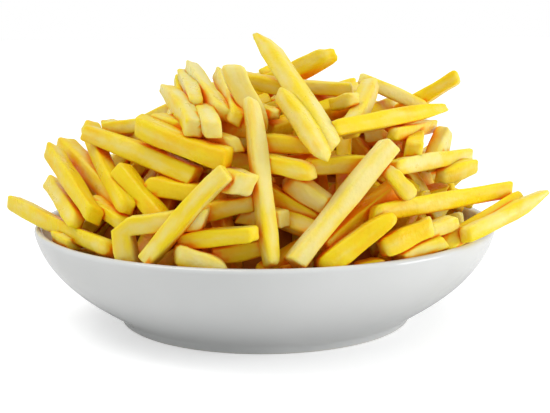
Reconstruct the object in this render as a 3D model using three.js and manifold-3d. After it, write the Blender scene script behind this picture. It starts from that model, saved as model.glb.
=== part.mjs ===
// A heap of french fries in a shallow bowl of white glazed porcelain.
// Millimetres, +Z up, origin on the table under the middle of the bowl. The heap is widest along X.
import * as THREE from 'three';
import { mergeVertices } from 'three/addons/utils/BufferGeometryUtils.js';
import Module from 'manifold-3d';

// Bowl
const RIM_RADIUS = 105;
const RIM_HEIGHT = 45;
const RIM_THICKNESS = 3.8;
const FOOT_RADIUS = 67;
const FOOT_HEIGHT = 3;
const FOOT_RING_WIDTH = 6;
const FLOOR_RADIUS = 58;
const FLOOR_HEIGHT = 8;
const BOWL_FACETS = 60;

// Heap
const FIT_GAP = 0.4; // between the fries and the bowl
const HEAP_RADIUS = 100; // where the heap meets the bowl
const HEAP_TOP = 109;
const HEAP_FACETS = 30;
const CORE_DEPTH = 7; // how far the body of the heap lies under its outermost fries
const HEAP_UNEVENNESS = 2.5;
const FRY_WIDTH = 7.4;
const FRY_BOW = 1.8; // how far the middle of a long fry bends out of line
const LONG_FRY = 60;
const END_TAPER = 0.84; // width of a fry's far end to that of its near end

const wasm = await Module();
wasm.setup();

const heap = new THREE.Group();
heap.name = 'fries_in_bowl';

function point(radius, height) {
  return new THREE.Vector2(radius, height);
}

// ---- between three.js geometry and a solid ----

function solidOf(geometry) {
  const bare = geometry.clone();
  bare.deleteAttribute('normal');
  bare.deleteAttribute('uv');
  const merged = mergeVertices(bare, 1e-4);
  const corners = merged.index.array;
  const triangles = [];
  for (let i = 0; i < corners.length; i += 3) {
    const [a, b, c] = [corners[i], corners[i + 1], corners[i + 2]];
    if (a !== b && b !== c && c !== a) triangles.push(a, b, c);
  }
  return new wasm.Manifold(new wasm.Mesh({
    numProp: 3,
    vertProperties: Float32Array.from(merged.attributes.position.array),
    triVerts: Uint32Array.from(triangles),
  }));
}

function geometryOf(solid) {
  const mesh = solid.getMesh();
  const geometry = new THREE.BufferGeometry();
  geometry.setAttribute('position', new THREE.BufferAttribute(mesh.vertProperties, mesh.numProp));
  geometry.setIndex(new THREE.BufferAttribute(mesh.triVerts, 1));
  return geometry;
}

// A profile turned about the Z axis.
function turned(profile, facets) {
  const lathe = new THREE.LatheGeometry(profile, facets);
  lathe.rotateX(Math.PI / 2);
  return lathe;
}

// ---- bowl ----

// The inner wall from the rim down to the flat of the floor, set in from the glaze by a gap.
function innerWall(gap, steps) {
  const top = point(RIM_RADIUS - RIM_THICKNESS - gap, RIM_HEIGHT - RIM_THICKNESS / 2 + gap);
  const wall = new THREE.CubicBezierCurve(
    top,
    point(RIM_RADIUS - 8.5 - gap, RIM_HEIGHT / 2 + gap),
    point(FLOOR_RADIUS + 15 - gap, FLOOR_HEIGHT + 4 + gap),
    point(FLOOR_RADIUS, FLOOR_HEIGHT + gap),
  );
  return wall.getPoints(steps);
}

function bowlProfile() {
  const outerWall = new THREE.CubicBezierCurve(
    point(FOOT_RADIUS + 1.4, FOOT_HEIGHT),
    point(FOOT_RADIUS + 4.1, FOOT_HEIGHT + 4.2),
    point(RIM_RADIUS - 5, FOOT_HEIGHT + 16),
    point(RIM_RADIUS, RIM_HEIGHT - RIM_THICKNESS / 2),
  );
  const lip = new THREE.EllipseCurve(
    RIM_RADIUS - RIM_THICKNESS / 2,
    RIM_HEIGHT - RIM_THICKNESS / 2,
    RIM_THICKNESS / 2,
    RIM_THICKNESS / 2,
    0,
    Math.PI,
  );
  return [
    point(0, FOOT_HEIGHT),
    point(FOOT_RADIUS - FOOT_RING_WIDTH - 1, FOOT_HEIGHT),
    point(FOOT_RADIUS - FOOT_RING_WIDTH, 0),
    point(FOOT_RADIUS, 0),
    ...outerWall.getPoints(8),
    ...lip.getPoints(4).slice(1, -1),
    ...innerWall(0, 6),
    point(0, FLOOR_HEIGHT),
  ];
}

const porcelain = new THREE.MeshStandardMaterial({ color: 0xf2f3f2, roughness: 0.18, metalness: 0 });
const bowl = new THREE.Mesh(geometryOf(solidOf(turned(bowlProfile(), BOWL_FACETS))), porcelain);
bowl.name = 'bowl';
heap.add(bowl);

// ---- fries ----

// One fry: a square stick that tapers towards its end, and is slightly bent where it is long.
// turn is its roll about its own length, in degrees.
function fry(start, end, width, turn) {
  const from = new THREE.Vector3(...start);
  const to = new THREE.Vector3(...end);
  const length = from.distanceTo(to);
  const bends = length > LONG_FRY ? 2 : 1;
  const stick = new THREE.BoxGeometry(length, width, width, bends, 1, 1);
  const corners = stick.attributes.position;
  for (let i = 0; i < corners.count; i++) {
    const along = corners.getX(i) / length + 0.5; // 0 at the start, 1 at the end
    const girth = THREE.MathUtils.lerp(1, END_TAPER, along);
    const bow = bends > 1 ? FRY_BOW * Math.sin(Math.PI * along) : 0;
    corners.setY(i, corners.getY(i) * girth);
    corners.setZ(i, corners.getZ(i) * girth + bow);
  }
  const place = new THREE.Object3D();
  place.position.copy(from).lerp(to, 0.5);
  const direction = to.clone().sub(from).normalize();
  place.quaternion.setFromUnitVectors(new THREE.Vector3(1, 0, 0), direction);
  place.rotateX(THREE.MathUtils.degToRad(turn));
  place.updateMatrix();
  return stick.applyMatrix4(place.matrix);
}

// The fries that give the heap its outline: two ends, width, turn.
const OUTLINE_FRIES = [
  // over the left rim and up the left shoulder
  [[-117, 1, 52], [-61, -79, 50], 7.8, 20],
  [[-94, -12, 77], [-68, -64, 57], 7.6, 30],
  [[-93, 6, 79], [-64, -54, 68], 6.9, 0],
  [[-97, 0, 62], [-76, -58, 53], 7.4, 30],
  [[-82, 0, 91], [-54, -72, 61], 7.4, 20],
  [[-79, -8, 88], [-38, -60, 78], 8, 10],
  [[-74, 6, 89], [-42, -52, 89], 6.9, 0],
  [[-62, -43, 93], [-12, -78, 84], 8.5, 0],
  [[-44, -40, 98], [-9, -74, 91], 7.6, 0],
  // the front, left of the middle
  [[-46, -86, 43], [-12, -86, 79], 7.8, 15],
  [[-57, -76, 57], [-22, -85, 61], 8.3, 0],
  [[-57, -76, 59], [-54, -80, 42], 8.3, 0],
  [[-58, -54, 77], [-42, -76, 61], 7.2, 15],
  [[-31, -83, 49], [-14, -88, 43], 8.5, 10],
  [[-34, -82, 52], [-3, -97, 58], 8.1, 0],
  [[-22, -64, 75], [-9, -91, 77], 8.1, 10],
  // standing up at the top, left of the middle
  [[-42, -16, 105], [-25, -66, 93], 7.8, 10],
  [[-35, 4, 113], [-16, -58, 98], 7.4, 20],
  [[-37, 8, 110], [-28, -46, 101], 7.4, 0],
  [[-24, -40, 98], [-20, -76, 94], 8.1, 0],
  [[-19, -6, 112], [-10, -64, 98], 7.4, 30],
  [[-14, -53, 117], [2, -94, 44], 7.8, 32],
  // the peak and the fries round it
  [[-5, 2, 130], [28, -76, 88], 8.1, 25],
  [[-4, 22, 101], [30, 0, 121], 8.5, 15],
  [[8, -34, 107], [26, -82, 82], 7.4, 30],
  [[10, 0, 106], [41, -8, 105], 7.8, 0],
  // the front, right of the middle
  [[-2, -64, 91], [24, -66, 90], 7.8, 0],
  [[-1, -74, 83], [20, -81, 79], 7.8, 0],
  [[0, -82, 69], [21, -88, 58], 7.4, 0],
  [[4, -72, 82], [25, -96, 67], 8.1, 0],
  [[13, -94, 44], [52, -70, 86], 8.3, 15],
  [[24, -90, 45], [51, -82, 62], 7.8, 15],
  [[46, -83, 48], [68, -71, 55], 8.3, 20],
  [[17, -70, 79], [50, -62, 78], 7.8, 0],
  // the right shoulder
  [[33, -58, 95], [49, 4, 107], 7.8, 20],
  [[44, -6, 109], [73, 0, 97], 7.4, 0],
  [[60, 4, 92], [88, -3, 110], 7.4, 10],
  [[25, -64, 92], [78, -9, 94], 7.4, 20],
  [[66, -12, 79], [62, -50, 77], 8.1, 0],
  [[75, -30, 74], [83, -4, 86], 7.8, 20],
  [[52, -65, 75], [92, -6, 69], 7.8, 10],
  [[74, -34, 71], [94, -18, 72], 7.6, 0],
  [[43, -79, 61], [107, -28, 62], 7.8, 15],
  // over the right rim
  [[73, -67, 49], [112, -34, 60], 7.4, 40],
  [[82, -64, 51], [120, -37, 63], 6.9, 30],
  [[62, -70, 51], [80, -60, 53], 7.4, 0],
];

// The body of the heap: a low mound, slightly lumpy, that fills the bowl.
function moundGeometry() {
  const profile = [point(0, FLOOR_HEIGHT + FIT_GAP)];
  profile.push(...innerWall(FIT_GAP, 3).reverse());
  const rings = 5;
  for (let ring = 1; ring <= rings; ring++) {
    const reach = 1 - ring / rings;
    const drop = 1 - reach ** 3;
    const rise = (HEAP_TOP - RIM_HEIGHT) * drop;
    profile.push(point((HEAP_RADIUS - CORE_DEPTH) * reach, RIM_HEIGHT - CORE_DEPTH + rise));
  }
  const mound = turned(profile, HEAP_FACETS);
  const corners = mound.attributes.position;
  for (let i = 0; i < corners.count; i++) {
    const x = corners.getX(i);
    const y = corners.getY(i);
    const z = corners.getZ(i);
    if (z < RIM_HEIGHT) continue;
    const lump = Math.sin(x / 9) * Math.cos(y / 11) + Math.sin((x + y) / 15);
    corners.setZ(i, z + HEAP_UNEVENNESS * lump);
  }
  return mound;
}

// Fries laid over the back of the heap, one course above another, each turned its own way.
function* backFries() {
  const courses = [
    { reach: 84, height: 54, count: 9, first: 12 },
    { reach: 76, height: 71, count: 8, first: 4 },
    { reach: 66, height: 87, count: 7, first: 12 },
    { reach: 42, height: 100, count: 5, first: 20 },
  ];
  for (const [level, course] of courses.entries()) {
    const sweep = 180 - 2 * course.first;
    for (let place = 0; place < course.count; place++) {
      const bearing = THREE.MathUtils.degToRad(course.first + (sweep * place) / (course.count - 1));
      const heading = bearing + Math.PI / 2 + 0.7 * Math.sin(3.7 * place + 2.3 * level);
      const half = 24 + 7 * Math.cos(5.1 * place + level);
      const lift = 5 * Math.sin(2.9 * place + 1.7 * level);
      const x = course.reach * Math.cos(bearing);
      const y = course.reach * Math.sin(bearing);
      const [dx, dy] = [half * Math.cos(heading), half * Math.sin(heading)];
      const turn = 40 * Math.sin(place + level);
      const start = [x - dx, y - dy, course.height - lift];
      const end = [x + dx, y + dy, course.height + lift];
      yield fry(start, end, FRY_WIDTH, turn);
    }
  }
}

// Where fries can be: inside the bowl, and anywhere over its rim.
function roomForFries() {
  const overRim = RIM_HEIGHT + FIT_GAP;
  const wide = RIM_RADIUS + 60;
  const high = HEAP_TOP + 60;
  const wall = innerWall(FIT_GAP, 6).reverse();
  return solidOf(turned([
    point(0, FLOOR_HEIGHT + FIT_GAP),
    ...wall,
    point(RIM_RADIUS - RIM_THICKNESS - FIT_GAP, overRim),
    point(wide, overRim),
    point(wide, high),
    point(0, high),
  ], BOWL_FACETS));
}

let friesSolid = solidOf(moundGeometry());
for (const [start, end, width, turn] of OUTLINE_FRIES) {
  friesSolid = friesSolid.add(solidOf(fry(start, end, width, turn)));
}
for (const stick of backFries()) {
  friesSolid = friesSolid.add(solidOf(stick));
}
friesSolid = friesSolid.intersect(roomForFries());

const friedPotato = new THREE.MeshStandardMaterial({ color: 0xe3bf55, roughness: 0.5, metalness: 0 });
const fries = new THREE.Mesh(geometryOf(friesSolid), friedPotato);
fries.name = 'fries';
heap.add(fries);

export default heap;
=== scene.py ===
# A heap of french fries in a shallow bowl of white glazed porcelain, on a plain pale table.
# Blender works in metres. Sizes that a cook or a potter would give are in millimetres here.
import math
from collections import namedtuple
import bpy
import numpy as np
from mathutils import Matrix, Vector
from mathutils.bvhtree import BVHTree


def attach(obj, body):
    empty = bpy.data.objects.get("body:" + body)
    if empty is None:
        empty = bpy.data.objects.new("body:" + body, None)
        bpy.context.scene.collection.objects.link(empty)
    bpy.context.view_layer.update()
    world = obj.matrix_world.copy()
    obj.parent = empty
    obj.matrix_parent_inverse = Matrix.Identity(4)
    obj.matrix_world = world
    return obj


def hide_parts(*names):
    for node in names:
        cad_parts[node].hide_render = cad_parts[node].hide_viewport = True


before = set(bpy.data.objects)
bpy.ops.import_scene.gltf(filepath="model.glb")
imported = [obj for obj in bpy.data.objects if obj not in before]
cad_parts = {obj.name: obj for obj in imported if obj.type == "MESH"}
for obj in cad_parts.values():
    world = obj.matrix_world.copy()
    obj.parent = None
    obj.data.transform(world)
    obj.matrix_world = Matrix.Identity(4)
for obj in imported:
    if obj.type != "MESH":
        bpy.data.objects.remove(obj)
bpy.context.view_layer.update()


# ---- Table, light and camera ----
# A plain pale table in a bright room. Broad light falls from above and a little to the left, and a
# lamp stands low on the right, so that side of the bowl is the brightest.
MM = 0.001
WHITE = (1.0, 1.0, 1.0, 1.0)
TABLE_SIZE = 6.0
TABLE_TONE = (0.84, 0.84, 0.84, 1.0)
TABLE_GLOW = 0.42
ROOM_BRIGHTNESS = 0.75
TOP_LIGHT_PLACE = (-0.38, -0.02, 1.0)
TOP_LIGHT_STRENGTH = 1.0
TOP_LIGHT_SPREAD = math.radians(35)
LAMP_PLACE = (0.95, -0.25, 0.2)
LAMP_WATTS = 3.8
LAMP_WIDTH = 0.5
LIGHTS_AIM = (0, 0, 0.06)
CAMERA_PLACE = Vector((5.2, -550.0, 150.0)) * MM
CAMERA_TILT_DOWN = math.radians(10.26)
CAMERA_ROLL = math.radians(0.3)
CAMERA_LENS = 79.1
CAMERA_NEAREST = 0.01


def new_material(name, finish):
    """A material with one plain surface, whose sockets start at the values in finish."""
    material = bpy.data.materials.new(name)
    material.use_nodes = True
    tree = material.node_tree
    tree.nodes.clear()
    output = tree.nodes.new("ShaderNodeOutputMaterial")
    surface = tree.nodes.new("ShaderNodeBsdfPrincipled")
    for socket, value in finish.items():
        surface.inputs[socket].default_value = value
    tree.links.new(surface.outputs["BSDF"], output.inputs["Surface"])
    return material, tree, surface


def seen_or_not(tree, seen, unseen):
    """A number that is one thing to the camera and another to all other rays of light."""
    path = tree.nodes.new("ShaderNodeLightPath")
    choice = tree.nodes.new("ShaderNodeMapRange")
    choice.inputs["To Min"].default_value = unseen
    choice.inputs["To Max"].default_value = seen
    tree.links.new(path.outputs["Is Camera Ray"], choice.inputs["Value"])
    return choice.outputs["Result"]


def mesh_piece(name, corners, faces, material, smooth=True):
    """A plain mesh with its finish, as an object in the scene."""
    mesh = bpy.data.meshes.new(name)
    mesh.from_pydata([tuple(corner) for corner in corners], [], faces)
    mesh.validate()
    mesh.polygons.foreach_set("use_smooth", [smooth] * len(mesh.polygons))
    mesh.materials.append(material)
    piece = bpy.data.objects.new(name, mesh)
    bpy.context.scene.collection.objects.link(piece)
    return piece


# The table glows faintly, but only for the camera: it shows white and lights the bowl no more.
table_finish, tree, surface = new_material("table_finish", {
    "Base Color": TABLE_TONE,
    "Roughness": 0.9,
    "Specular IOR Level": 0.1,
    "Emission Color": WHITE,
})
tree.links.new(seen_or_not(tree, TABLE_GLOW, 0.0), surface.inputs["Emission Strength"])
half = TABLE_SIZE / 2
table_corners = [(-half, -half, 0), (half, -half, 0), (half, half, 0), (-half, half, 0)]
table_top = mesh_piece("table_top", table_corners, [(0, 1, 2, 3)], table_finish, smooth=False)

# The walls of the room shine on the object less than they show behind it.
room = bpy.data.worlds.new("bright_room")
room.use_nodes = True
walls = room.node_tree.nodes["Background"]
walls.inputs["Color"].default_value = WHITE
walls_shine = seen_or_not(room.node_tree, 1.0, ROOM_BRIGHTNESS)
room.node_tree.links.new(walls_shine, walls.inputs["Strength"])
bpy.context.scene.world = room
bpy.context.scene.view_settings.view_transform = "Standard"


def put_light(name, data, place):
    """Put a light in its place, turned to the middle of the heap."""
    light = bpy.data.objects.new(name, data)
    light.location = place
    light.rotation_mode = "QUATERNION"
    light.rotation_quaternion = (Vector(LIGHTS_AIM) - Vector(place)).to_track_quat("-Z", "Y")
    bpy.context.scene.collection.objects.link(light)


key_light = bpy.data.lights.new("key_light", "SUN")
key_light.energy = TOP_LIGHT_STRENGTH
key_light.angle = TOP_LIGHT_SPREAD
put_light("key_light", key_light, TOP_LIGHT_PLACE)

side_light = bpy.data.lights.new("side_light", "AREA")
side_light.shape = "DISK"
side_light.size = LAMP_WIDTH
side_light.energy = LAMP_WATTS
put_light("side_light", side_light, LAMP_PLACE)

camera_data = bpy.data.cameras.new("camera")
camera_data.lens = CAMERA_LENS
camera_data.clip_start = CAMERA_NEAREST
camera = bpy.data.objects.new("camera", camera_data)
camera.location = CAMERA_PLACE
camera.rotation_mode = "XYZ"
camera.rotation_euler = (math.pi / 2 - CAMERA_TILT_DOWN, CAMERA_ROLL, 0)
bpy.context.scene.collection.objects.link(camera)
bpy.context.scene.camera = camera


# ---- Bowl ----
# A shallow, footed serving bowl of white porcelain, turned on a wheel, with a rounded lip and a
# shallow recess underneath, and glazed all over but for the foot ring that it stood on in the kiln.
RIM_RADIUS = 105.0
RIM_HEIGHT = 45.0
RIM_THICKNESS = 3.8
FOOT_RADIUS = 67.0
FOOT_HEIGHT = 3.0
FOOT_RING_WIDTH = 6.0
FOOT_ROUNDING = 0.9
RECESS_ROUNDING = 1.2
RECESS_INSET = 2.5
FLOOR_RADIUS = 58.0
FLOOR_HEIGHT = 8.0
BOWL_TURNS = 192
PORCELAIN = (0.63, 0.643, 0.638, 1.0)
LIGHTER_PORCELAIN = (0.68, 0.69, 0.685, 1.0)
BARE_CLAY = (0.70, 0.69, 0.66, 1.0)
GLAZE_STARTS = 0.8
GLAZE_ROUGHNESS = 0.2


def curve_between(points, steps):
    """Points along a cubic curve that its four control points set."""
    a, b, c, d = (np.array(p, float) for p in points)
    t = np.linspace(0, 1, steps + 1)[:, None]
    return a * (1 - t) ** 3 + 3 * b * t * (1 - t) ** 2 + 3 * c * t * t * (1 - t) + d * t ** 3


def arc(centre, radius, first, last, steps):
    """Points along an arc between two angles in degrees."""
    angle = np.radians(np.linspace(first, last, steps + 1))
    return np.stack([centre[0] + radius * np.cos(angle), centre[1] + radius * np.sin(angle)], -1)


def outer_wall(steps):
    """The bowl's outside: it leaves the foot steeply, sweeps out low and climbs to the rim."""
    return curve_between(
        [
            (FOOT_RADIUS + 1.4, FOOT_HEIGHT),
            (FOOT_RADIUS + 4.1, FOOT_HEIGHT + 4.2),
            (RIM_RADIUS - 5, FOOT_HEIGHT + 16),
            (RIM_RADIUS, RIM_HEIGHT - RIM_THICKNESS / 2),
        ],
        steps,
    )


def inner_wall(steps):
    """The bowl's inside: it drops from the rim and runs out flat into the floor."""
    return curve_between(
        [
            (RIM_RADIUS - RIM_THICKNESS, RIM_HEIGHT - RIM_THICKNESS / 2),
            (RIM_RADIUS - 8.5, RIM_HEIGHT / 2),
            (FLOOR_RADIUS + 15, FLOOR_HEIGHT + 4),
            (FLOOR_RADIUS, FLOOR_HEIGHT),
        ],
        steps,
    )


def bowl_outline():
    """Half of the bowl cut through its middle: the recess, the foot ring, the outside, the lip and
    the inside, as distances from the axis and heights."""
    ring_inner = FOOT_RADIUS - FOOT_RING_WIDTH
    recess_edge = ring_inner - RECESS_INSET
    recess_centre = (recess_edge, FOOT_HEIGHT - RECESS_ROUNDING)
    inner_edge_centre = (ring_inner + FOOT_ROUNDING, FOOT_ROUNDING)
    outer_edge_centre = (FOOT_RADIUS - FOOT_ROUNDING, FOOT_ROUNDING)
    lip_centre = (RIM_RADIUS - RIM_THICKNESS / 2, RIM_HEIGHT - RIM_THICKNESS / 2)
    return np.concatenate([
        [(0, FOOT_HEIGHT), (ring_inner * 0.5, FOOT_HEIGHT), (recess_edge, FOOT_HEIGHT)],
        arc(recess_centre, RECESS_ROUNDING, 90, 0, 4)[1:],
        arc(inner_edge_centre, FOOT_ROUNDING, 180, 270, 4),
        arc(outer_edge_centre, FOOT_ROUNDING, 270, 360, 4),
        outer_wall(28),
        arc(lip_centre, RIM_THICKNESS / 2, 0, 180, 10)[1:-1],
        inner_wall(24),
        [(FLOOR_RADIUS * 0.5, FLOOR_HEIGHT), (0, FLOOR_HEIGHT)],
    ])


def turned_mesh(outline, turns):
    """Corners and faces of an outline from the axis back to the axis, turned about the axis."""
    angle = np.linspace(0, 2 * math.pi, turns, endpoint=False)
    middle = outline[1:-1]
    rings = np.stack([
        middle[:, None, 0] * np.cos(angle),
        middle[:, None, 0] * np.sin(angle),
        np.repeat(middle[:, 1:2], turns, 1),
    ], -1)
    corners = [(0, 0, outline[0][1])] + rings.reshape(-1, 3).tolist() + [(0, 0, outline[-1][1])]
    faces = []
    last = len(middle) - 1
    for turn in range(turns):
        after = (turn + 1) % turns
        faces.append((0, 1 + after, 1 + turn))
        for ring in range(last):
            low, high = 1 + ring * turns, 1 + (ring + 1) * turns
            faces.append((low + turn, low + after, high + after, high + turn))
        top = 1 + last * turns
        faces.append((len(corners) - 1, top + turn, top + after))
    return np.array(corners) * MM, faces


def patches_group():
    """Soft patches that wander over a surface, read from the place of each point."""
    group = bpy.data.node_groups.new("wandering_patches", "ShaderNodeTree")
    face = group.interface
    face.new_socket("Place", in_out="INPUT", socket_type="NodeSocketVector")
    for name, start in (("Size", 60.0), ("Low", 0.4), ("High", 0.6)):
        socket = face.new_socket(name, in_out="INPUT", socket_type="NodeSocketFloat")
        socket.default_value = start
    face.new_socket("Mask", in_out="OUTPUT", socket_type="NodeSocketFloat")
    entry = group.nodes.new("NodeGroupInput")
    leave = group.nodes.new("NodeGroupOutput")
    noise = group.nodes.new("ShaderNodeTexNoise")
    noise.inputs["Detail"].default_value = 3.0
    spread = group.nodes.new("ShaderNodeMapRange")
    group.links.new(entry.outputs["Place"], noise.inputs["Vector"])
    group.links.new(entry.outputs["Size"], noise.inputs["Scale"])
    group.links.new(noise.outputs["Fac"], spread.inputs["Value"])
    group.links.new(entry.outputs["Low"], spread.inputs["From Min"])
    group.links.new(entry.outputs["High"], spread.inputs["From Max"])
    group.links.new(spread.outputs["Result"], leave.inputs["Mask"])
    return group


PATCHES = patches_group()


def patches(tree, size, low, high, place=None):
    """A mask of soft patches: size is how many lie along a metre, and the mask grows from nothing
    to full as the noise under it goes from low to high."""
    node = tree.nodes.new("ShaderNodeGroup")
    node.node_tree = PATCHES
    if place is None:
        place = tree.nodes.new("ShaderNodeTexCoord").outputs["Object"]
    tree.links.new(place, node.inputs["Place"])
    node.inputs["Size"].default_value = size
    node.inputs["Low"].default_value = low
    node.inputs["High"].default_value = high
    return node.outputs["Mask"]


def blend_colours(tree, mask, one, other):
    """One colour where the mask is empty, the other where it is full."""
    node = tree.nodes.new("ShaderNodeMix")
    node.data_type = "RGBA"
    for socket, value in (("A", one), ("B", other)):
        entry = next(s for s in node.inputs if s.name == socket and s.type == "RGBA")
        if isinstance(value, tuple):
            entry.default_value = value
        else:
            tree.links.new(value, entry)
    tree.links.new(mask, node.inputs["Factor"])
    return next(s for s in node.outputs if s.type == "RGBA")


def arithmetic(tree, operation, first, second):
    """What ADD, MULTIPLY or the like makes of two values, each a number or a node's output."""
    node = tree.nodes.new("ShaderNodeMath")
    node.operation = operation
    for entry, value in zip(node.inputs, (first, second)):
        if isinstance(value, float):
            entry.default_value = value
        else:
            tree.links.new(value, entry)
    return node.outputs[0]


def weighed(tree, *terms):
    """All the values added up, each times its weight."""
    total = None
    for value, weight in terms:
        part = arithmetic(tree, "MULTIPLY", value, weight)
        total = part if total is None else arithmetic(tree, "ADD", total, part)
    return total


def relief(tree, surface, height, depth, strength):
    """Fine unevenness of the surface, which catches the light."""
    bump = tree.nodes.new("ShaderNodeBump")
    bump.inputs["Distance"].default_value = depth
    bump.inputs["Strength"].default_value = strength
    tree.links.new(height, bump.inputs["Height"])
    tree.links.new(bump.outputs["Normal"], surface.inputs["Normal"])


porcelain, tree, surface = new_material("glazed_porcelain", {
    "Specular IOR Level": 0.3,
    "Coat Weight": 0.5,
    "Coat Roughness": 0.06,
})
body = blend_colours(tree, patches(tree, 14.0, 0.35, 0.65), PORCELAIN, LIGHTER_PORCELAIN)
place = tree.nodes.new("ShaderNodeTexCoord")
height = tree.nodes.new("ShaderNodeSeparateXYZ")
tree.links.new(place.outputs["Object"], height.inputs["Vector"])
bare_foot = arithmetic(tree, "LESS_THAN", height.outputs["Z"], GLAZE_STARTS * MM)
tree.links.new(blend_colours(tree, bare_foot, body, BARE_CLAY), surface.inputs["Base Color"])
dullness = weighed(tree, (bare_foot, 0.5), (patches(tree, 30.0, 0.3, 0.7), 0.05))
roughness = arithmetic(tree, "ADD", dullness, GLAZE_ROUGHNESS)
tree.links.new(roughness, surface.inputs["Roughness"])
relief(tree, surface, patches(tree, 45.0, 0.2, 0.8), depth=0.2 * MM, strength=0.12)

corners, faces = turned_mesh(bowl_outline(), BOWL_TURNS)
bowl = mesh_piece("porcelain_bowl", corners, faces, porcelain)
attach(bowl, "root")
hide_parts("bowl")


# ---- Fries ----
# Thin straight-cut potato sticks, most of them six to nine millimetres thick, fried pale gold and
# heaped loosely. Each is a little bent and uneven, and cut square, slanting or to a point.
Fry = namedtuple("Fry", "line width turn tips pale unevenness")
LAID_UNEVENNESS = 0.5
LOOSE_UNEVENNESS = 1.0
laid_fries = []


# The paleness given to a laid fry is partly its own tone and partly painted light and shade: higher
# for fries in the light, low or below nothing for fries in shade.
def lay(*line, width=7.5, turn=0, tips=(1.0, 1.0), pale=0.5):
    """Lay one fry at a stated place: its ends, and its knee if it has one; tips narrows an end."""
    line = np.array(line, float)
    laid_fries.append(Fry(line, width, math.radians(turn), tips, pale, LAID_UNEVENNESS))


# Over the left rim and up the left shoulder.
lay((-117, 1, 52), (-61, -79, 47.5), width=8.4, turn=20, tips=(0.95, 1), pale=0.3)
lay((-90, -40, 47), (-79, -56, 46), width=6.6, pale=0.35)
lay((-94, -12, 77), (-68, -64, 57), width=8.6, turn=30, pale=0.1)
lay((-93, 4, 79), (-58, -63, 60), width=8.2, turn=10, pale=0.35)
lay((-97, 0, 62), (-76, -58, 53), width=7.4, turn=30, pale=0.2)
lay((-80, 2, 88), (-54, -70, 60), width=7, turn=20, pale=0.0)
lay((-77, -24, 88), (-27, -67, 74), width=8, turn=10, pale=0.25)
lay((-74, 6, 89), (-42, -54, 88), width=6.6, pale=0.5)
lay((-70, -20, 89), (-38, -42, 96), width=6, pale=0.6)
# The next fries lie in shade under the fries over them, and their low paleness is painted shade.
lay((-58, -52, 76), (-40, -76, 59), width=6.8, turn=15, pale=-0.3)
lay((-50, -60, 70), (-24, -72, 70), width=8, pale=-0.5)
lay((-46, -38, 76), (-16, -54, 71), width=7.4, pale=-0.4)
lay((-74, -46, 63), (-54, -71, 58), width=6.4, pale=0.3)
lay((-90, -6, 62), (-66, -30, 62), width=7.6, pale=-0.3)
# The two broad fries across the left front.
lay((-52, -46, 93), (-13, -80, 82), width=9, pale=0.1)
lay((-44, -40, 98), (-9, -74, 92), width=7.4, pale=0.6)
# The front, left of the middle, with the fry that is bent like an elbow.
lay((-46, -89, 43), (-12, -90, 79), width=7.8, turn=15, pale=0.6)
lay((-22, -85, 61), (-57, -78, 57), (-53, -80, 39), width=8.3, pale=0.85)
lay((-35, -87, 50), (-15, -96, 43), width=8.8, turn=10, pale=0.95)
lay((-34, -84, 52), (-3, -99, 58), width=7.9, pale=0.4)
lay((-20, -86, 46), (2, -86, 50), width=7, pale=0.3)
lay((-18, -70, 77), (-7, -93, 77), width=9, turn=10, pale=0.95)
lay((-24, -76, 61), (-2, -78, 65), width=7.7, pale=0.3)
# Standing up at the top, left of the middle.
lay((-42, -16, 105), (-25, -70, 92), width=7.5, turn=10, tips=(0.55, 1), pale=0.7)
lay((-38, 10, 111), (-35, -18, 97), width=4.3, pale=0.5)
lay((-35, 4, 113), (-16, -60, 98), width=6.8, turn=20, pale=0.9)
lay((-37, 8, 110), (-27, -50, 101), width=6.6, pale=0.7)
lay((-24, -42, 98), (-20, -78, 94), width=7.8, pale=0.85)
lay((-30, -14, 104), (-10, -30, 101), width=7.3, pale=0.3)
lay((-18, -52, 95), (-1, -64, 91), width=7.6, pale=0.6)
lay((-19, -6, 112), (-10, -66, 98), width=6.2, turn=30, pale=0.5)
lay((-14, -50, 118.5), (-1, -57, 90), width=9, turn=32, pale=0.9)
lay((-5, -62, 104), (3.3, -97, 44), width=7.6, turn=100, tips=(0.9, 0.6), pale=0.85)
# The peak and the fries round it.
lay((-1.5, 2, 129), (28, -78, 88), width=7.8, turn=25, tips=(0.2, 1), pale=0.8)
lay((-6, 24, 101), (30, 0, 121), width=8.2, turn=15, pale=0.3)
lay((8, -46, 106), (24.5, -90, 86), width=7.6, turn=25, tips=(1, 0.6), pale=0.75)
lay((-14, -4, 110), (14, -26, 106), width=7.9, pale=0.2)
lay((-4, -20, 97), (5, -56, 99), width=6, pale=0.6)
lay((4, 2, 106), (40, -8, 105), width=7.5, pale=0.8)
lay((30, -22, 99), (40, -36, 102), width=6.6, pale=0.5)
# The front, right of the middle.
lay((-4, -64, 91), (24, -66, 90), width=7.8, pale=0.35)
lay((-3, -74, 83), (20, -82, 79), width=8, pale=0.6)
lay((0.7, -68, 69.5), (22.4, -74, 58.4), width=7.4, pale=0.1)
lay((10.5, -70, 74), (27, -80, 65), width=9.6, pale=1.3)
lay((-10, -74, 63), (8.5, -84, 61.5), width=8, pale=0.9)
lay((13, -97, 44), (52, -71, 86), width=9.4, turn=15, pale=1.15)
lay((24, -88, 51), (56, -63, 71), width=8, pale=0.3)
lay((22, -95, 43), (51, -83, 62), width=8.2, turn=10, tips=(1, 0.6), pale=0.25)
lay((46, -86, 48), (67, -74, 55), width=9, turn=15, pale=0.45)
lay((64, -73, 52), (80, -62, 54), width=7.6, pale=0.9)
lay((54, -82, 45), (72, -66, 47), width=6.4, tips=(0.6, 1), pale=0.8)
lay((36, -90, 42), (48, -86, 44), width=6.4, pale=0.3)
lay((17, -72, 79), (50, -62, 78), width=7.6, pale=0.3)
lay((48, -76, 80), (58, -76, 68), width=7, turn=10, pale=0.8)
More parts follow.
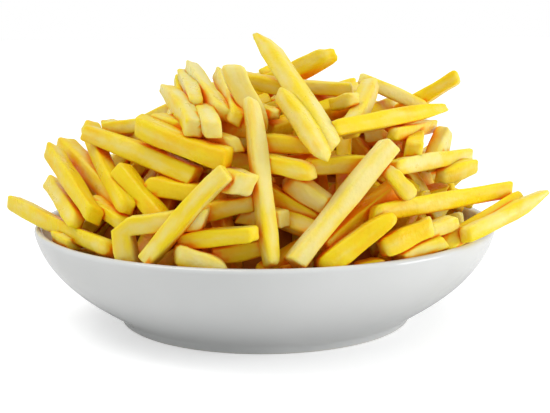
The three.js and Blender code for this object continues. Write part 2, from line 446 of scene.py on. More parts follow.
# The right shoulder.
lay((36, -52, 93), (47, -12, 109), width=7.4, turn=10, tips=(1, 0.8), pale=0.85)
lay((44, -6, 109), (73, 0, 97), width=7, pale=0.9)
lay((60, 4, 92), (88, -3, 110), width=6.6, turn=10, pale=0.2)
lay((24, -66, 92), (78, -9, 95), width=7.4, turn=20, tips=(1, 0.5), pale=0.3)
lay((54, -44, 88), (77, 4, 86), width=6.2, pale=0.5)
lay((66, -14, 85), (62, -54, 82), width=7.8, pale=0.25)
lay((75, -32, 73), (83, -4, 87), width=7.8, turn=20, tips=(1, 0.7), pale=0.85)
lay((50, -68, 78), (90, -8, 73), width=8.2, turn=10, pale=0.7)
lay((74, -34, 71), (93, -18, 73), width=7.4, pale=0.5)
lay((43, -81, 61), (107, -28, 62), width=8.2, turn=15, pale=0.35)
# Over the right rim, one lying along the other, with a curled tip.
lay((73, -68, 47), (112, -34, 60), width=7.2, turn=40, pale=0.4)
lay((82, -66, 50), (103, -49, 55), (121, -36, 63), width=6.4, turn=30, tips=(1, 0.3), pale=0.6)

# The outside of the heap is a low dome, which falls on to HEAP_OVERHANG times its radius. Loose
# fries reach less high on the left, from LEFT_SLOPE_START on.
HEAP_RADIUS = 100.0
HEAP_TOP = 112.0
HEAP_FULLNESS = 3
HEAP_OVERHANG = 1.15
LEFT_SLOPE_START = -5
LEFT_SLOPE = 0.2
# How far back the laid fries cover the heap in the middle, and how much less at the sides.
FRONT_REACH = 12
FRONT_CURVE = 0.2
# How far down the first ring of a course lies, as a share of the room between rings.
FIRST_RING = 0.35


def heap_height(distance):
    """Height of the heap's outside above the table, at a distance from its middle."""
    out = np.minimum(distance / HEAP_RADIUS, HEAP_OVERHANG)
    return RIM_HEIGHT + (HEAP_TOP - RIM_HEIGHT) * (1 - out ** HEAP_FULLNESS)


def heap_slope(distance):
    """How steeply the heap's outside climbs outwards: less than nothing, because it falls."""
    fall = HEAP_FULLNESS * (HEAP_TOP - RIM_HEIGHT)
    return -fall * distance ** (HEAP_FULLNESS - 1) / HEAP_RADIUS ** HEAP_FULLNESS


def loose_limit(x, y):
    """Height that the loose fries reach."""
    return heap_height(np.hypot(x, y)) + np.minimum((x - LEFT_SLOPE_START) * LEFT_SLOPE, 0)


def front_edge(x):
    """How far back the laid fries cover the heap, at a place to the left or right."""
    return FRONT_REACH - FRONT_CURVE * np.abs(x)


def rings_down(spacing):
    """Distances from the middle that lie evenly spaced down the slope of the heap's outside."""
    reach = np.linspace(0, HEAP_RADIUS, 400)
    step = np.hypot(np.diff(reach), np.diff(heap_height(reach)))
    down = np.concatenate([[0], np.cumsum(step)])
    return np.interp(np.arange(spacing * FIRST_RING, down[-1], spacing), down, reach)


INNER_WALL = inner_wall(40)[::-1]


def wall_radius(level):
    """Radius of the bowl's inside at a height above the table; very wide above its rim."""
    inside = np.interp(level, INNER_WALL[:, 1], INNER_WALL[:, 0])
    return np.where(level > RIM_HEIGHT, 1e3, inside)


# Courses of loose fries, from the outside in: depth under the heap's outside, room between rings
# and room along a ring.
COURSES = ((3.0, 11.5, 21.0), (10.5, 14.0, 28.0), (19.0, 20.0, 40.0))
# A loose fry wanders along its ring by RING_WANDER of its room. It tips by SLOPE_FOLLOWED of the
# heap's slope under it, and by about TIPPING more either way.
RING_WANDER = 0.3
SLOPE_FOLLOWED = 0.75
TIPPING = 0.16
HALF_LENGTHS = (20, 40)
LOOSE_WIDTHS = (6.2, 8.2)


def scattered_fries(chance):
    """Ends and widths of fries heaped in courses, each turned its own way, under and behind the
    laid ones, which take the place of the outer course in front."""
    ends = []
    widths = []
    for course, (depth, spacing, room) in enumerate(COURSES):
        for ring, reach in enumerate(rings_down(spacing)):
            count = max(2, int(2 * math.pi * reach / room))
            for place in range(count):
                wander = chance.uniform(-RING_WANDER, RING_WANDER)
                bearing = 2 * math.pi * (place + wander) / count + ring
                x = reach * math.cos(bearing)
                y = reach * math.sin(bearing)
                if course == 0 and y < front_edge(x):
                    continue
                heading = chance.uniform(0, math.pi)
                outward = math.cos(heading - bearing)
                rise = heap_slope(reach) * outward * SLOPE_FOLLOWED + chance.normal(0, TIPPING)
                along = np.array([math.cos(heading), math.sin(heading), rise])
                along /= np.linalg.norm(along)
                half = chance.uniform(*HALF_LENGTHS)
                middle = np.array([x, y, float(loose_limit(x, y)) - depth])
                ends.append((middle - along * half, middle + along * half))
                widths.append(chance.uniform(*LOOSE_WIDTHS))
    return np.array(ends), np.array(widths)


def nearest_points(a, b, c, d):
    """How far along segments ab and cd their nearest points lie, from 0 to 1."""
    u, v, w = b - a, d - c, a - c
    uu, uv, vv = (u * u).sum(-1), (u * v).sum(-1), (v * v).sum(-1)
    uw, vw = (u * w).sum(-1), (v * w).sum(-1)
    spread = uu * vv - uv * uv
    s = np.where(spread > 1e-6, (uv * vw - vv * uw) / np.maximum(spread, 1e-6), 0.5)
    s = np.clip(s, 0, 1)
    t = np.clip((uv * s + vw) / vv, 0, 1)
    s = np.clip((uv * t - uw) / uu, 0, 1)
    return s, t


# How the heap settles. Each fry counts as stiff and round, a little over half its width in radius.
# In one round an overlap pushes by its depth, up to MOST_PUSH, times FIRMNESS. EVEN_SHARE of that
# goes to both ends of a fry, wherever on it the push lands, and all pushes together shift an end
# by no more than MOST_SHIFT along an axis. A laid fry gives way little, and is drawn back by
# LAID_HOLD of the way to where it was laid.
SETTLE_ROUNDS = 80
RADIUS_SHARE = 0.52
MOST_PUSH = 3.0
MOST_SHIFT = 4
FIRMNESS = 0.55
EVEN_SHARE = 0.25
LAID_EASE = 0.12
LAID_HOLD = 0.25
# Loose fries may stand a little out of the heap's outside, but in front, where the laid fries are,
# they stay well under it. The next three are the shares of the way that one round takes loose
# fries down to there, all fries off the bowl's wall, and loose fries in from the rim's margin.
STANDING_OUT = 0.5
UNDER_LAID = -15.0
BACK_UNDER = 0.5
OFF_WALL = 0.7
IN_FROM_RIM = 0.6
RIM_MARGIN = 2
FLOOR_GAP = 0.5


def pushed_apart(ends, thickness, ease, first, second):
    """How far each end moves as the pairs first and second push each other apart."""
    a, b = ends[first, 0], ends[first, 1]
    c, d = ends[second, 0], ends[second, 1]
    s, t = nearest_points(a, b, c, d)
    apart = (a + (b - a) * s[:, None]) - (c + (d - c) * t[:, None])
    distance = np.linalg.norm(apart, axis=1)
    need = thickness[first] + thickness[second] - distance
    touching = need > 0
    i, j = first[touching], second[touching]
    push = apart[touching] / np.maximum(distance[touching], 1e-3)[:, None]
    push *= np.minimum(need[touching], MOST_PUSH)[:, None]
    share = (ease[i] / (ease[i] + ease[j]))[:, None]
    shift = np.zeros_like(ends)
    s, t = s[touching][:, None], t[touching][:, None]
    for index, part, where in ((i, push * share, s), (j, -push * (1 - share), t)):
        np.add.at(shift, (index, 0), part * (1 + EVEN_SHARE - where) * FIRMNESS)
        np.add.at(shift, (index, 1), part * (EVEN_SHARE + where) * FIRMNESS)
    return np.clip(shift, -MOST_SHIFT, MOST_SHIFT)


def kept_in_bowl(ends, thickness, loose):
    """The ends with loose fries back under the heap's outside, and in front under the laid fries
    too, and with all fries inside the wall of the bowl and over its floor."""
    ends = ends.copy()
    thickness = thickness[:, None]
    reach = np.linalg.norm(ends[:, :, :2], axis=2)
    in_front = ends[:, :, 1] < front_edge(ends[:, :, 0])
    proud = np.where(in_front, UNDER_LAID, STANDING_OUT)
    limit = loose_limit(ends[:, :, 0], ends[:, :, 1]) + proud
    over = np.maximum(ends[:, :, 2] - limit, 0)
    ends[:, :, 2] -= over * BACK_UNDER * loose
    room = wall_radius(ends[:, :, 2] - thickness) - thickness
    wide = np.maximum(reach - room, 0) * OFF_WALL
    past_rim = np.maximum(reach - (RIM_RADIUS - RIM_MARGIN), 0) * IN_FROM_RIM
    wide = np.maximum(wide, past_rim * loose)
    ends[:, :, :2] -= ends[:, :, :2] * (wide / np.maximum(reach, 1))[:, :, None]
    ends[:, :, 2] = np.maximum(ends[:, :, 2], FLOOR_HEIGHT + thickness + FLOOR_GAP)
    return ends


def settle(home, widths, ease):
    """Where the fries come to rest, pushing each other apart within the bowl and the heap.

    ease is how freely each fry moves: 1 for a loose one, a little for a laid one, 0 for none."""
    ends = home.copy()
    loose = (ease == 1)[:, None]
    hold = np.where(ease < 1, LAID_HOLD, 0.0)[:, None, None]
    lengths = np.linalg.norm(ends[:, 1] - ends[:, 0], axis=1)
    thickness = widths * RADIUS_SHARE
    first, second = np.triu_indices(len(ends), 1)
    moving = ease[first] + ease[second] > 0
    first, second = first[moving], second[moving]
    for step in range(SETTLE_ROUNDS):
        ends += pushed_apart(ends, thickness, ease, first, second)
        ends = kept_in_bowl(ends, thickness, loose)
        ends += (home - ends) * hold
        middle = ends.mean(axis=1, keepdims=True)
        along = ends[:, 1] - ends[:, 0]
        along *= (lengths / np.linalg.norm(along, axis=1))[:, None]
        ends = middle + np.stack([-along / 2, along / 2], axis=1)
        ends[ease == 0] = home[ease == 0]
    return ends


# The straight laid fries move a little, the two legs of a kneed one not at all.
chance = np.random.default_rng(21)
straight = [fry for fry in laid_fries if len(fry.line) == 2]
kneed = [fry for fry in laid_fries if len(fry.line) == 3]
legs = [fry._replace(line=fry.line[leg:leg + 2]) for fry in kneed for leg in (0, 1)]
laid_lines = straight + legs
loose_ends, loose_widths = scattered_fries(chance)
ends = np.concatenate([np.array([fry.line for fry in laid_lines]), loose_ends])
widths = np.concatenate([np.array([fry.width for fry in laid_lines]), loose_widths])
ease = np.ones(len(ends))
ease[:len(straight)] = LAID_EASE
ease[len(straight):len(laid_lines)] = 0
ends = settle(ends, widths, ease)

# Each tip of a loose fry is as wide as the fry, or narrowed to one of the smaller shares.
LOOSE_TIPS = [1.0, 1.0, 1.0, 0.8, 0.45]
all_fries = [fry._replace(line=line) for line, fry in zip(ends, straight)] + kneed
for line, width in zip(ends[len(laid_lines):], loose_widths):
    tips = chance.choice(LOOSE_TIPS, 2)
    turn = chance.uniform(0, math.pi / 2)
    all_fries.append(Fry(line, width, turn, tips, chance.random(), LOOSE_UNEVENNESS))

# A fry's end, step by step from the middle of the cut over its worn edge: the distance in from
# the end, the share of the full girth, and how much of the cut face shows there.
END_STEPS = ((0.0, 0.06, 1), (0.0, 0.62, 1), (0.25, 0.85, 0.7), (0.8, 0.96, 0.2), (1.9, 1.0, 0))
BODY_STEPS = 6
LINE_STEPS = 2 * len(END_STEPS) + BODY_STEPS
# How far a bent fry's bend reaches from its knee, and a slanting cut from its end, in widths.
BEND_REACH = 0.75
SLANT_REACH = 1.3
# How far a tip that narrows reaches, and the largest share of a short fry that it takes up.
TIP_LENGTH = 16.0
MOST_TIP = 0.4
# How much one fry differs from the next: how worn its edges are, its bow as a share of its
# length, its sway in millimetres, the share of ends with a steep cut, and shares of its width
# for the rest. PHASES and SWELL_WAVES are in radians.
EDGE_WEAR = [0.7, 1.1, 1.7, 2.5]
BOW = 0.02
SWAY = 0.35
PHASES = (0, 6)
TAPER = (-0.22, 0.16)
SWELL = 0.06
SWELL_WAVES = (5, 11)
FLATNESS = (0.84, 1.04)
CUT_SLANT = 0.30
STEEP_CUTS = 0.25
HOLLOWNESS = (-0.02, 0.09)
SKEW = 0.12
# The grain of the potato runs along a fry, so its pattern is drawn out lengthwise, and starts
# somewhere else on each.
GRAIN_STRETCH = 0.45
GRAIN_STARTS = (0, 20)


def centre_line(line, width, places):
    """Points at places along a fry's line, with a rounded knee, and the line's direction there."""
    if len(line) == 2:
        along = (line[1] - line[0]) / np.linalg.norm(line[1] - line[0])
        return line[0] + along * places[:, None], np.repeat(along[None], len(places), 0)
    start, knee, end = line
    near, far = np.linalg.norm(knee - start), np.linalg.norm(end - knee)
    into, out = (knee - start) / near, (end - knee) / far
    bend = width * BEND_REACH
    share = np.clip((places - (near - bend)) / (2 * bend), 0, 1)[:, None]
    before = start + into * np.minimum(places, near - bend)[:, None]
    curve = (knee - into * bend) * (1 - share) ** 2
    curve = curve + 2 * share * (1 - share) * knee + (knee + out * bend) * share ** 2
    after = out * np.maximum(places - near - bend, 0)[:, None]
    points = np.where(share > 0, curve + after, before)
    along = into * (1 - share) + out * share
    return points, along / np.linalg.norm(along, axis=1)[:, None]


def side_and_up(line, along, turn):
    """The ways that a fry's side and its upper face look, at each step of its line."""
    if len(line) == 3:
        level = np.cross(line[1] - line[0], line[2] - line[1])
    else:
        level = np.cross(along[0], (0, 0, 1.0))
    level = np.repeat(level[None] / np.linalg.norm(level), len(along), 0)
    side = level * math.cos(turn) + np.cross(level, along) * math.sin(turn)
    return side, np.cross(side, along)


def fry_line(fry, chance):
    """All that a fry is swept from, at each step of its line."""
    line, width, turn, tips, pale, unevenness = fry
    length = np.linalg.norm(np.diff(line, axis=0), axis=1).sum()
    wear = chance.choice(EDGE_WEAR)
    inward, fullness, cut = np.array(END_STEPS).T
    near = inward * wear
    worn = fullness ** wear
    body = np.linspace(near[-1], length - near[-1], BODY_STEPS + 2)[1:-1]
    places = np.concatenate([near, body, length - near[::-1]])
    girth = np.concatenate([worn, np.ones(BODY_STEPS), worn[::-1]])
    cut_end = np.concatenate([cut, np.zeros(BODY_STEPS), cut[::-1]])
    centre, along = centre_line(line, width, places)
    side, up = side_and_up(line, along, turn)

    share = places / length
    arch = np.sin(math.pi * share)[:, None]
    sway = np.sin(2 * math.pi * share + chance.uniform(*PHASES))[:, None]
    bow = chance.normal(0, BOW, 2) * length * unevenness * (len(line) == 2)
    wave = chance.normal(0, SWAY, 2) * unevenness
    centre = centre + side * (bow[0] * arch + wave[0] * sway)
    centre = centre + up * (bow[1] * arch + wave[1] * sway)
    taper = 1 + chance.uniform(*TAPER) * (share - 0.5)
    waves = share * chance.uniform(*SWELL_WAVES)
    swell = 1 + SWELL * np.sin(waves + chance.uniform(*PHASES))
    reach = min(TIP_LENGTH, length * MOST_TIP)
    narrow = 1 - (1 - tips[0]) * np.clip(1 - places / reach, 0, 1)
    narrow = narrow * (1 - (1 - tips[1]) * np.clip(1 - (length - places) / reach, 0, 1))
    half = girth * taper * swell * width / 2
    slants = chance.normal(0, CUT_SLANT, (2, 2)) * unevenness
    if chance.random() < STEEP_CUTS:
        slants[0, chance.integers(2)] += unevenness
    if chance.random() < STEEP_CUTS:
        slants[1, chance.integers(2)] -= unevenness
    near_end = np.clip(1 - places / (SLANT_REACH * width), 0, 1)
    far_end = np.clip(1 - (length - places) / (SLANT_REACH * width), 0, 1)
    return {
        "centre": centre * MM,
        "side": side,
        "up": up,
        "along": along,
        "half_side": half * MM,
        "half_up": half * narrow * chance.uniform(*FLATNESS) * MM,
        "slant_side": near_end * slants[0, 0] + far_end * slants[1, 0],
        "slant_up": near_end * slants[0, 1] + far_end * slants[1, 1],
        "hollow": np.full(LINE_STEPS, chance.uniform(*HOLLOWNESS)),
        "skew": np.full(LINE_STEPS, chance.normal(0, SKEW)),
        "tone_and_painted_light": np.full(LINE_STEPS, pale),
        "lengthwise": places * MM * GRAIN_STRETCH + chance.uniform(*GRAIN_STARTS),
        "cut_end": cut_end,
    }


def line_object(name, points, edges, values):
    """A mesh of points and edges that carries one named value, or vector, for each point."""
    mesh = bpy.data.meshes.new(name)
    mesh.from_pydata([tuple(point) for point in points], edges, [])
    for key, data in values.items():
        is_vector = data.ndim == 2
        layer = mesh.attributes.new(key, "FLOAT_VECTOR" if is_vector else "FLOAT", "POINT")
        layer.data.foreach_set("vector" if is_vector else "value", data.astype(np.float32).ravel())
    made = bpy.data.objects.new(name, mesh)
    bpy.context.scene.collection.objects.link(made)
    return made


SECTION_ROUNDING = 0.30
# How much a cut end looks like the middle of a face.
CUT_LIKE_MIDDLE = 0.55


def section_outline():
    """Round a fry: a square with rounded corners, two across, with a point amid each face."""
    centre = 1 - SECTION_ROUNDING
    quarter = [(1.0, 0.0)]
    for angle in (0, 45, 90):
        x = centre + SECTION_ROUNDING * math.cos(math.radians(angle))
        y = centre + SECTION_ROUNDING * math.sin(math.radians(angle))
        quarter.append((x, y))
    points = []
    for turn in range(4):
        cosine = math.cos(turn * math.pi / 2)
        sine = math.sin(turn * math.pi / 2)
        points += [(x * cosine - y * sine, x * sine + y * cosine, 0) for x, y in quarter]
    return np.array(points)


def swept_fries_tree():
    """Sweep the section along every line, at the place, girth and slant that its points carry."""
    tree = bpy.data.node_groups.new("swept_fries", "GeometryNodeTree")
    face = tree.interface
    face.new_socket("Lines", in_out="INPUT", socket_type="NodeSocketGeometry")
    face.new_socket("Section", in_out="INPUT", socket_type="NodeSocketObject")
    for name, start in (("Unevenness", 0.25), ("Lump Size", 0.012), ("Seed", 0.0)):
        socket = face.new_socket(name, in_out="INPUT", socket_type="NodeSocketFloat")
        socket.default_value = start
    face.new_socket("Finish", in_out="INPUT", socket_type="NodeSocketMaterial")
    face.new_socket("Fries", in_out="OUTPUT", socket_type="NodeSocketGeometry")
    entry = tree.nodes.new("NodeGroupInput")
    leave = tree.nodes.new("NodeGroupOutput")
    link = tree.links.new

    def stored(name, kind="FLOAT"):
        node = tree.nodes.new("GeometryNodeInputNamedAttribute")
        node.data_type = kind
        node.inputs["Name"].default_value = name
        return node.outputs["Attribute"]

    def number(operation, *values):
        node = tree.nodes.new("ShaderNodeMath")
        node.operation = operation
        for socket, value in zip(node.inputs, values):
            if isinstance(value, float):
                socket.default_value = value
            else:
                link(value, socket)
        return node.outputs[0]

    def vector_sum(first, second):
        node = tree.nodes.new("ShaderNodeVectorMath")
        link(first, node.inputs[0])
        link(second, node.inputs[1])
        return node.outputs[0]

    def stretched(vector, amount):
        node = tree.nodes.new("ShaderNodeVectorMath")
        node.operation = "SCALE"
        link(vector, node.inputs[0])
        link(amount, node.inputs["Scale"])
        return node.outputs[0]

    lines = tree.nodes.new("GeometryNodeMeshToCurve")
    link(entry.outputs["Lines"], lines.inputs["Mesh"])
    section = tree.nodes.new("GeometryNodeObjectInfo")
    link(entry.outputs["Section"], section.inputs["Object"])
    loop = tree.nodes.new("GeometryNodeMeshToCurve")
    link(section.outputs["Geometry"], loop.inputs["Mesh"])
    sweep = tree.nodes.new("GeometryNodeCurveToMesh")
    link(lines.outputs["Curve"], sweep.inputs["Curve"])
    link(loop.outputs["Curve"], sweep.inputs["Profile Curve"])
    sweep.inputs["Fill Caps"].default_value = True
    outside_out = tree.nodes.new("GeometryNodeFlipFaces")
    link(sweep.outputs["Mesh"], outside_out.inputs["Mesh"])

    # Where each corner of the sweep goes: out from its line, then pushed by the lumps, and slid
    # along the fry where a slanting cut makes one side longer.
    sunk = number("SUBTRACT", 1.0, number("MULTIPLY", stored("amid_face"), stored("hollow")))
    high = number("MULTIPLY", number("MULTIPLY", stored("high"), sunk), stored("half_up"))
    leaning = number("MULTIPLY_ADD", stored("high"), stored("skew"), stored("across"))
    across = number("MULTIPLY", number("MULTIPLY", leaning, sunk), stored("half_side"))
    sideways = stretched(stored("side", "FLOAT_VECTOR"), across)
    upwards = stretched(stored("up", "FLOAT_VECTOR"), high)
    outward = vector_sum(sideways, upwards)
    smooth_place = vector_sum(stored("centre", "FLOAT_VECTOR"), outward)
    noise = tree.nodes.new("ShaderNodeTexNoise")
    noise.noise_dimensions = "4D"
    noise.inputs["Detail"].default_value = 1.5
    link(smooth_place, noise.inputs["Vector"])
    link(entry.outputs["Seed"], noise.inputs["W"])
    link(number("DIVIDE", 1.0, entry.outputs["Lump Size"]), noise.inputs["Scale"])
    in_or_out = number("SUBTRACT", noise.outputs["Fac"], 0.5)
    lump = number("MULTIPLY", in_or_out, entry.outputs["Unevenness"])
    slide_up = number("MULTIPLY", high, stored("slant_up"))
    slide = number("MULTIPLY_ADD", across, stored("slant_side"), slide_up)
    place = vector_sum(smooth_place, stretched(outward, lump))
    place = vector_sum(place, stretched(stored("along", "FLOAT_VECTOR"), slide))
    moved = tree.nodes.new("GeometryNodeSetPosition")
    link(outside_out.outputs["Mesh"], moved.inputs["Geometry"])
    link(place, moved.inputs["Position"])

    # What the finish reads: a place that runs with the grain, and how near each corner is to the
    # middle of a face.
    grain_place = tree.nodes.new("ShaderNodeCombineXYZ")
    link(across, grain_place.inputs["X"])
    link(high, grain_place.inputs["Y"])
    link(stored("lengthwise"), grain_place.inputs["Z"])
    uncut = number("SUBTRACT", 1.0, stored("cut_end"))
    amid_side = number("MULTIPLY", stored("amid_face"), uncut)
    face_middle = number("MULTIPLY_ADD", stored("cut_end"), CUT_LIKE_MIDDLE, amid_side)
    marked = moved.outputs["Geometry"]
    for name, kind, value in (
        ("grain_place", "FLOAT_VECTOR", grain_place.outputs["Vector"]),
        ("face_middle", "FLOAT", face_middle),
    ):
        store = tree.nodes.new("GeometryNodeStoreNamedAttribute")
        store.data_type = kind
        store.inputs["Name"].default_value = name
        link(marked, store.inputs["Geometry"])
        link(value, store.inputs["Value"])
        marked = store.outputs["Geometry"]
    rounded = tree.nodes.new("GeometryNodeSetShadeSmooth")
    link(marked, rounded.inputs["Geometry"])
    real = tree.nodes.new("GeometryNodeRealizeInstances")
    link(rounded.outputs["Geometry"], real.inputs["Geometry"])
    finish = tree.nodes.new("GeometryNodeSetMaterial")
    link(real.outputs["Geometry"], finish.inputs["Geometry"])
    link(entry.outputs["Finish"], finish.inputs["Material"])
    link(finish.outputs["Geometry"], leave.inputs["Fries"])
    return tree


def grown_piece(name, carrier, tree, inputs, kept):
    """Run a node tree on a carrier and keep what it makes as a plain mesh with the kept values."""
    modifier = carrier.modifiers.new("grow", "NODES")
    modifier.node_group = tree
    for socket in tree.interface.items_tree:
        if socket.in_out == "INPUT" and socket.name in inputs:
            modifier[socket.identifier] = inputs[socket.name]
    bpy.context.view_layer.update()
    ready = carrier.evaluated_get(bpy.context.evaluated_depsgraph_get())
    mesh = bpy.data.meshes.new_from_object(ready)
    carrier.modifiers.remove(modifier)
    bpy.data.objects.remove(carrier)
    mesh.name = name
    for layer in [a.name for a in mesh.attributes if a.domain == "POINT" and not a.is_internal]:
        if layer not in ("position", *kept):
            mesh.attributes.remove(mesh.attributes[layer])
    piece = bpy.data.objects.new(name, mesh)
    bpy.context.scene.collection.objects.link(piece)
    return piece


# From each corner of a fry, looks go out all round to see how near others are. A look starts just
# off the surface, and what it meets at the end of its reach counts less than what is close by.
# Each look is a golden turn on from the last, counted from AWRY, a way that hardly any face looks.
LOOKS = 14
LOOK_START = 0.5
LOOK_REACH = 30.0
FAR_COUNTS_LESS = 0.6
GOLDEN_TURN = math.pi * (3 - math.sqrt(5))
AWRY = (0.31, 0.52, 0.79)


def mark_crevice_shade(mesh, bowl_mesh):
    """Store how crowded each corner is, which the potato's finish paints as shade: the share of the
    space over it that fries and bowl fill.
    """
    count = len(mesh.vertices)
    places = np.empty(count * 3, np.float32)
    outward = np.empty(count * 3, np.float32)
    mesh.vertices.foreach_get("co", places)
    mesh.vertex_normals.foreach_get("vector", outward)
    places = places.reshape(-1, 3).astype(float)
    outward = outward.reshape(-1, 3).astype(float)
    corners = places.tolist() + [tuple(corner.co) for corner in bowl_mesh.vertices]
    faces = [tuple(face.vertices) for face in mesh.polygons]
    faces += [tuple(corner + count for corner in face.vertices) for face in bowl_mesh.polygons]
    shapes = BVHTree.FromPolygons(corners, faces)
    level = np.cross(outward, AWRY)
    level /= np.linalg.norm(level, axis=1)[:, None]
    across = np.cross(outward, level)
    start = places + outward * LOOK_START * MM
    reach = LOOK_REACH * MM
    crowded = np.zeros(count)
    for look in range(LOOKS):
        lean = math.sqrt((look + 0.5) / LOOKS)
        turn = look * GOLDEN_TURN
        ahead = outward * math.sqrt(1 - lean * lean)
        ahead = ahead + (level * math.cos(turn) + across * math.sin(turn)) * lean
        for corner, (place, aim) in enumerate(zip(start.tolist(), ahead.tolist())):
            distance = shapes.ray_cast(place, aim, reach)[3]
            if distance is not None:
                crowded[corner] += 1 - FAR_COUNTS_LESS * distance / reach
    layer = mesh.attributes.new("crevice_shade", "FLOAT", "POINT")
    layer.data.foreach_set("value", (crowded / LOOKS).astype(np.float32))


def carried(tree, name, output="Fac"):
    """A value that each point of the piece carries."""
    node = tree.nodes.new("ShaderNodeAttribute")
    node.attribute_name = name
    return node.outputs[output]


def ramp(tree, value, low, high):
    """A mask that grows softly from nothing to full as the value goes from low to high."""
    node = tree.nodes.new("ShaderNodeMapRange")
    node.interpolation_type = "SMOOTHSTEP"
    node.inputs["From Min"].default_value = low
    node.inputs["From Max"].default_value = high
    tree.links.new(value, node.inputs["Value"])
    return node.outputs["Result"]


PALE_POTATO_AND_PAINTED_LIGHT = (0.86, 0.755, 0.28, 1.0)
YELLOW_POTATO = (0.88, 0.67, 0.010, 1.0)
GOLDEN_POTATO_AND_PAINTED_SHADE = (0.88, 0.54, 0.004, 1.0)
DEEP_CREVICE_SHADE_POTATO = (0.98, 0.24, 0.002, 1.0)
BROWNED_POTATO = (0.25, 0.07, 0.01, 1.0)
POTATO_ROUGHNESS = 0.26

fried_potato, tree, surface = new_material("fried_potato", {
    "Specular IOR Level": 0.2,
    "Subsurface Weight": 0.5,
    "Subsurface Radius": (1.0, 0.75, 0.15),
    "Subsurface Scale": 0.0035,
})
grain_place = carried(tree, "grain_place", "Vector")
tone_and_painted_light = carried(tree, "tone_and_painted_light")
face_middle = carried(tree, "face_middle")
# Paler potato, partly the fries' own tone and partly painted light: whole fries paler where they lie
# in the light, and soft pale patches and face middles that are partly a painted sheen.
cloud = patches(tree, 110.0, 0.34, 0.66, grain_place)
streaks = patches(tree, 330.0, 0.36, 0.66, grain_place)
paleness_and_painted_light = weighed(tree, (tone_and_painted_light, 0.60), (face_middle, 0.28), (cloud, 0.50), (streaks, 0.12))
flesh = blend_colours(tree, ramp(tree, paleness_and_painted_light, 0.46, 1.30), YELLOW_POTATO, PALE_POTATO_AND_PAINTED_LIGHT)
# Golden patches and more golden edges, and painted shade on fries laid with little paleness.
gold = patches(tree, 120.0, 0.38, 0.70, grain_place)
gilding_and_painted_shade = weighed(tree, (tone_and_painted_light, -0.40), (face_middle, -0.20), (gold, 0.75))
flesh = blend_colours(tree, ramp(tree, gilding_and_painted_shade, 0.0, 0.85), flesh, GOLDEN_POTATO_AND_PAINTED_SHADE)
# Painted shade: where fries and the bowl crowd round a corner, the potato is painted deeper in
# colour, more golden and then orange-red, as light that reaches there has come through potato.
crevice_shade = carried(tree, "crevice_shade")
crevice_shade_mask = weighed(tree, (ramp(tree, crevice_shade, 0.32, 0.70), 0.75))
flesh = blend_colours(tree, crevice_shade_mask, flesh, GOLDEN_POTATO_AND_PAINTED_SHADE)
deep_crevice_shade_mask = weighed(tree, (ramp(tree, crevice_shade, 0.50, 0.84), 0.95))
flesh = blend_colours(tree, deep_crevice_shade_mask, flesh, DEEP_CREVICE_SHADE_POTATO)
# A few small specks, and those only here and there.
specks = patches(tree, 380.0, 0.74, 0.80)
specks = arithmetic(tree, "MULTIPLY", specks, patches(tree, 40.0, 0.5, 0.62))
flesh = blend_colours(tree, specks, flesh, BROWNED_POTATO)
tree.links.new(flesh, surface.inputs["Base Color"])
dryness = weighed(tree, (patches(tree, 200.0, 0.35, 0.65, grain_place), 0.25))
roughness = arithmetic(tree, "ADD", dryness, POTATO_ROUGHNESS)
tree.links.new(roughness, surface.inputs["Roughness"])
fine = patches(tree, 620.0, 0.3, 0.75)
coarse = patches(tree, 190.0, 0.3, 0.7)
relief(tree, surface, weighed(tree, (fine, 0.35), (coarse, 1.0)), depth=0.6 * MM, strength=0.5)

swept = [fry_line(fry, chance) for fry in all_fries]
values = {key: np.concatenate([fry[key] for fry in swept]) for key in swept[0]}
links = [
    (fry * LINE_STEPS + step, fry * LINE_STEPS + step + 1)
    for fry in range(len(swept))
    for step in range(LINE_STEPS - 1)
]
fry_lines = line_object("fry_lines", values["centre"], links, values)
outline = section_outline()
count = len(outline)
section = line_object(
    "fry_section",
    outline,
    [(i, (i + 1) % count) for i in range(count)],
    {
        "across": outline[:, 0],
        "high": outline[:, 1],
        "amid_face": (np.arange(count) % 4 == 0).astype(float),
    },
)
fries = grown_piece(
    "loose_fries",
    fry_lines,
    swept_fries_tree(),
    {"Section": section, "Unevenness": 0.26, "Lump Size": 0.013, "Seed": 3.0, "Finish": fried_potato},
    ("tone_and_painted_light", "face_middle", "grain_place"),
)
bpy.data.objects.remove(section)
mark_crevice_shade(fries.data, bowl.data)
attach(fries, "root")
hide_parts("fries")


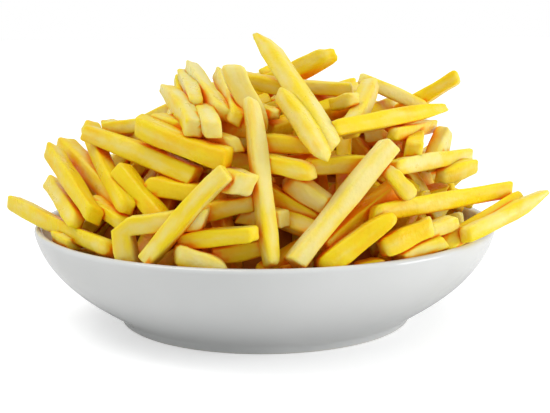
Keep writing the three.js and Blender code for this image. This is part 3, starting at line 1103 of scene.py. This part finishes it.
# ---- Heap core ----
# The fries deep in the heap, too close-packed to tell apart: a lumpy mound that fills the bowl and
# stands well under the loose fries, of the same potato, painted dark orange-brown as painted shade,
# so far from the light.
CORE_DEPTH = 34.0
CORE_WALL_GAP = 1.2
CORE_FLOOR_GAP = 0.8
# How far under the rim the core leaves the wall, how far in from there its top starts, and how
# much narrower than the heap's outside the top is.
CORE_EDGE_DROP = 16
CORE_SHOULDER = 2
CORE_NARROWING = 8
CORE_TURNS = 96
# Over this height the core is lumpy, with so many radians of lumps along a metre.
LUMPS_FROM = 30.0
LUMP_HEIGHT = 1.8
LUMPS_ALONG = 420
LUMPS_ACROSS = 380
SHADED_CORE_POTATO = (0.62, 0.20, 0.008, 1.0)
DARKEST_SHADED_CORE_POTATO = (0.45, 0.11, 0.005, 1.0)


def core_outline():
    """Half of the core cut through its middle, as distances from the axis and heights."""
    wall = inner_wall(10)[::-1]
    wall = wall[wall[:, 1] < RIM_HEIGHT - CORE_EDGE_DROP] - (CORE_WALL_GAP, 0)
    reach = np.linspace(wall[-1, 0] - CORE_SHOULDER, 0, 22)
    top = np.stack([reach, heap_height(reach + CORE_NARROWING) - CORE_DEPTH], -1)
    top[:, 1] = np.maximum(top[:, 1], wall[-1, 1])
    floor_middle = (0, FLOOR_HEIGHT + CORE_FLOOR_GAP)
    return np.concatenate([[floor_middle], wall + (0, CORE_FLOOR_GAP), top])


core_finish, tree, surface = new_material("packed_potato_in_painted_shade", {
    "Roughness": 0.6,
    "Specular IOR Level": 0.3,
})
mottle = patches(tree, 60.0, 0.35, 0.65)
flesh = blend_colours(tree, mottle, SHADED_CORE_POTATO, DARKEST_SHADED_CORE_POTATO)
tree.links.new(flesh, surface.inputs["Base Color"])
relief(tree, surface, patches(tree, 110.0, 0.2, 0.8), depth=2 * MM, strength=0.5)
corners, faces = turned_mesh(core_outline(), CORE_TURNS)
mound = corners[:, 2] > LUMPS_FROM * MM
waves = np.sin(corners[:, 0] * LUMPS_ALONG) * np.cos(corners[:, 1] * LUMPS_ACROSS)
corners[mound, 2] += waves[mound] * LUMP_HEIGHT * MM
core = mesh_piece("heap_core", corners, faces, core_finish)
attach(core, "root")
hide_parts("fries")
